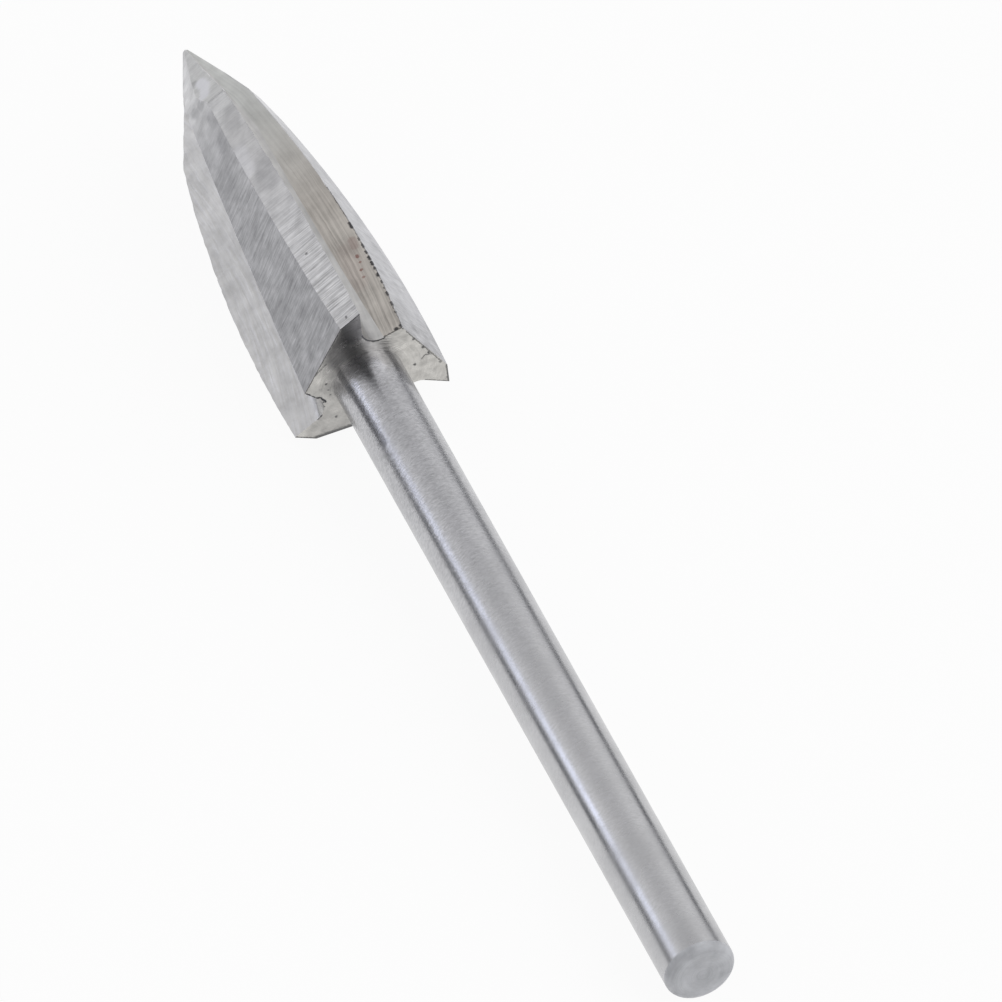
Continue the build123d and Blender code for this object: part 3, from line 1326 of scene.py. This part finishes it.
@dataclass
class Studio:
    """A pale floor, soft light all round and the camera at the photograph's angle."""

    frame: ToolFrame
    off_square: float = radians(39.46)
    tool_turn: float = radians(73.84)
    picture_roll: float = radians(29.31)
    centre_right: float = 2.243
    centre_down_tool: float = 22.27
    field_width: float = 40.78
    lens: float = 1600.0
    sensor: float = 36.0
    nearest_m: float = 0.01
    farthest_m: float = 20.0
    floor_size_m: float = 4.0
    floor_share_lit: float = 0.07
    floor_colour: str = "#F2F2F2"
    strip_turn: float = radians(46.0)
    strip_reach: float = radians(9.0)
    strip_core_share: float = 0.4
    strip_strength: float = 2.2
    strip_colour: str = "#E4E9FB"
    opening_inner: float = radians(14.0)
    opening_outer: float = radians(42.0)
    opening_colour: str = "#2E2F33"
    lamp_size_m: float = 0.9
    lamp_watts: float = 2.5
    lamp_place_m: tuple[float, float, float] = (-0.3, -0.6, 0.5)
    # The tent's colours, from the horizon at 0 to straight above at 1
    tent: tuple[tuple[float, str], ...] = (
        (0.0, "#33363E"), (0.14, "#3E4149"), (0.26, "#F5F5F6"),
        (0.62, "#F8F8F8"), (0.82, "#D3D3D4"), (1.0, "#CCCCCE"),
    )

    def __post_init__(self) -> None:
        """Works out the direction towards the camera, and the one square to it down the tool."""
        axis, towards = self.frame.to_rear, self.frame.outward(pi / 2 - self.tool_turn)
        self.view = towards * cos(self.off_square) + axis * sin(self.off_square)
        self.down_tool = axis * cos(self.off_square) - towards * sin(self.off_square)

    def camera(self) -> None:
        """Sets the camera far off with a long lens, so that lines along the tool stay parallel."""
        right_of_tool, roll = self.frame.outward(-self.tool_turn), self.picture_roll
        right = right_of_tool * cos(roll) + self.down_tool * sin(roll)
        up = right_of_tool * sin(roll) - self.down_tool * cos(roll)
        centre = self.frame.tip + METRES_PER_MM * (
            right_of_tool * self.centre_right + self.down_tool * self.centre_down_tool
        )
        distance = self.field_width * METRES_PER_MM * self.lens / self.sensor
        data = bpy.data.cameras.new("camera")
        data.lens = self.lens
        data.sensor_width = self.sensor
        data.clip_start = self.nearest_m
        data.clip_end = self.farthest_m
        camera = bpy.data.objects.new("camera", data)
        turn = Matrix((right, up, self.view)).transposed().to_4x4()
        camera.matrix_world = Matrix.Translation(centre + self.view * distance) @ turn
        bpy.context.collection.objects.link(camera)
        bpy.context.scene.camera = camera

    def floor(self) -> None:
        """Lays a pale matt card, no part of the object, that looks white and keeps a shadow."""
        half = self.floor_size_m / 2
        mesh = bpy.data.meshes.new("floor")
        corners = [(-half, -half, 0), (half, -half, 0), (half, half, 0), (-half, half, 0)]
        mesh.from_pydata(corners, [], [(0, 1, 2, 3)])
        floor = bpy.data.objects.new("floor", mesh)
        bpy.context.collection.objects.link(floor)
        material = bpy.data.materials.new("white_card_floor")
        material.use_nodes = True
        tree = material.node_tree
        tree.nodes.clear()
        card = add_node(tree, "ShaderNodeBsdfDiffuse", {"Color": linear_colour(self.floor_colour)})
        glow = add_node(tree, "ShaderNodeEmission", {"Color": linear_colour(WHITE)})
        ray = add_node(tree, "ShaderNodeLightPath").outputs
        seen = ray["Is Camera Ray"]
        for other in ("Is Glossy Ray", "Is Transmission Ray"):
            seen = add_node(tree, MATH, {0: seen, 1: ray[other]}, operation="MAXIMUM")
        unlit = {0: seen, 1: 1 - self.floor_share_lit}
        share = add_node(tree, MATH, unlit, operation="MULTIPLY")
        mix = add_node(tree, "ShaderNodeMixShader", {0: share, 1: card, 2: glow})
        add_node(tree, "ShaderNodeOutputMaterial", {"Surface": mix})
        mesh.materials.append(material)

    def share_near(
        self, tree: Tree, direction: Socket, centre: Vector, outer: float, inner: float
    ) -> bpy.types.Node:
        """How much a direction lies within a round patch of the surroundings.

        Args:
            tree: The world's node tree.
            direction: The direction that is looked along.
            centre: The middle of the patch.
            outer: Angle from the middle at which the patch begins.
            inner: Angle from the middle at which it is full.

        Returns:
            A node whose value runs from 0 to 1.
        """
        facing = add_node(tree, VECTOR_MATH, {0: direction, 1: centre}, operation="DOT_PRODUCT")
        ends = {0: facing.outputs["Value"], 1: cos(outer), 2: cos(inner)}
        return add_node(tree, RANGE, ends, interpolation_type="SMOOTHSTEP")

    def surroundings(self) -> None:
        """Lights the tool from a tent: dim at the horizon, bright walls, a softer roof.

        The side from which the picture is taken is open, and dark inside. One bright strip
        gives the line of light that the shank's left side mirrors.
        """
        world = bpy.data.worlds.new("light_tent")
        world.use_nodes = True
        tree = world.node_tree
        tree.nodes.clear()
        direction = add_node(tree, "ShaderNodeTexCoord").outputs["Generated"]
        height = add_node(tree, "ShaderNodeSeparateXYZ", {0: direction}).outputs["Z"]
        ramp = add_node(tree, "ShaderNodeValToRGB", {0: height})
        elements = ramp.color_ramp.elements
        # New stops stand halfway until each gets its place
        while len(elements) < len(self.tent):
            elements.new(0.5)
        for element, (position, colour) in zip(elements, self.tent):
            element.position = position
            element.color = linear_colour(colour)
        open_share = self.share_near(
            tree, direction, self.view, self.opening_outer, self.opening_inner
        )
        inside = {0: open_share, 6: ramp, 7: linear_colour(self.opening_colour)}
        colour = add_node(tree, MIX, inside, data_type="RGBA").outputs[2]
        around = self.frame.outward(pi / 2 - self.tool_turn + self.strip_turn)
        strip = around * cos(self.off_square) - self.frame.to_rear * sin(self.off_square)
        core = self.strip_reach * self.strip_core_share
        strip_share = self.share_near(tree, direction, strip, self.strip_reach, core)
        tint = {0: strip_share, 6: colour, 7: linear_colour(self.strip_colour)}
        tinted = add_node(tree, MIX, tint, data_type="RGBA").outputs[2]
        gain = {0: strip_share, 1: self.strip_strength - 1, 2: 1.0}
        strength = add_node(tree, MATH, gain, operation="MULTIPLY_ADD")
        light = add_node(tree, "ShaderNodeBackground", {"Color": tinted, "Strength": strength})
        white = add_node(tree, "ShaderNodeBackground", {"Color": linear_colour(WHITE)})
        ray = add_node(tree, "ShaderNodeLightPath").outputs["Is Camera Ray"]
        seen = add_node(tree, "ShaderNodeMixShader", {0: ray, 1: light, 2: white})
        add_node(tree, "ShaderNodeOutputWorld", {"Surface": seen})
        bpy.context.scene.world = world

    def lamp(self) -> None:
        """Hangs one large soft lamp high on the right, for a gentle shadow."""
        data = bpy.data.lights.new("soft_lamp", "AREA")
        data.shape = "SQUARE"
        data.size = self.lamp_size_m
        data.energy = self.lamp_watts
        lamp = bpy.data.objects.new("soft_lamp", data)
        place = Vector(self.lamp_place_m)
        turn = (-place).to_track_quat("-Z", "Y").to_matrix().to_4x4()
        lamp.matrix_world = Matrix.Translation(place) @ turn
        lamp.visible_camera = False
        bpy.context.collection.objects.link(lamp)

    def build(self) -> None:
        """Sets up floor, light and camera."""
        self.floor()
        self.surroundings()
        self.lamp()
        self.camera()
        bpy.context.scene.view_settings.view_transform = "Standard"


def main() -> None:
    """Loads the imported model, dresses the tool and sets up the studio."""
    logging.basicConfig(level=logging.INFO, format="%(name)s: %(message)s")
    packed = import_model()
    frame = ToolFrame.from_record(packed["record"])
    section = HeadSection()
    marks = Marks(section)
    materials = {surface: finish.material() for surface, finish in finishes(marks).items()}
    piece = CarvingBit(section).build(frame, materials)
    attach(piece, "root")
    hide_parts("carving_bit")
    LOG.info("%s: %d vertices", piece.name, len(piece.data.vertices))
    Studio(frame).build()


if __name__ == "__main__":
    main()
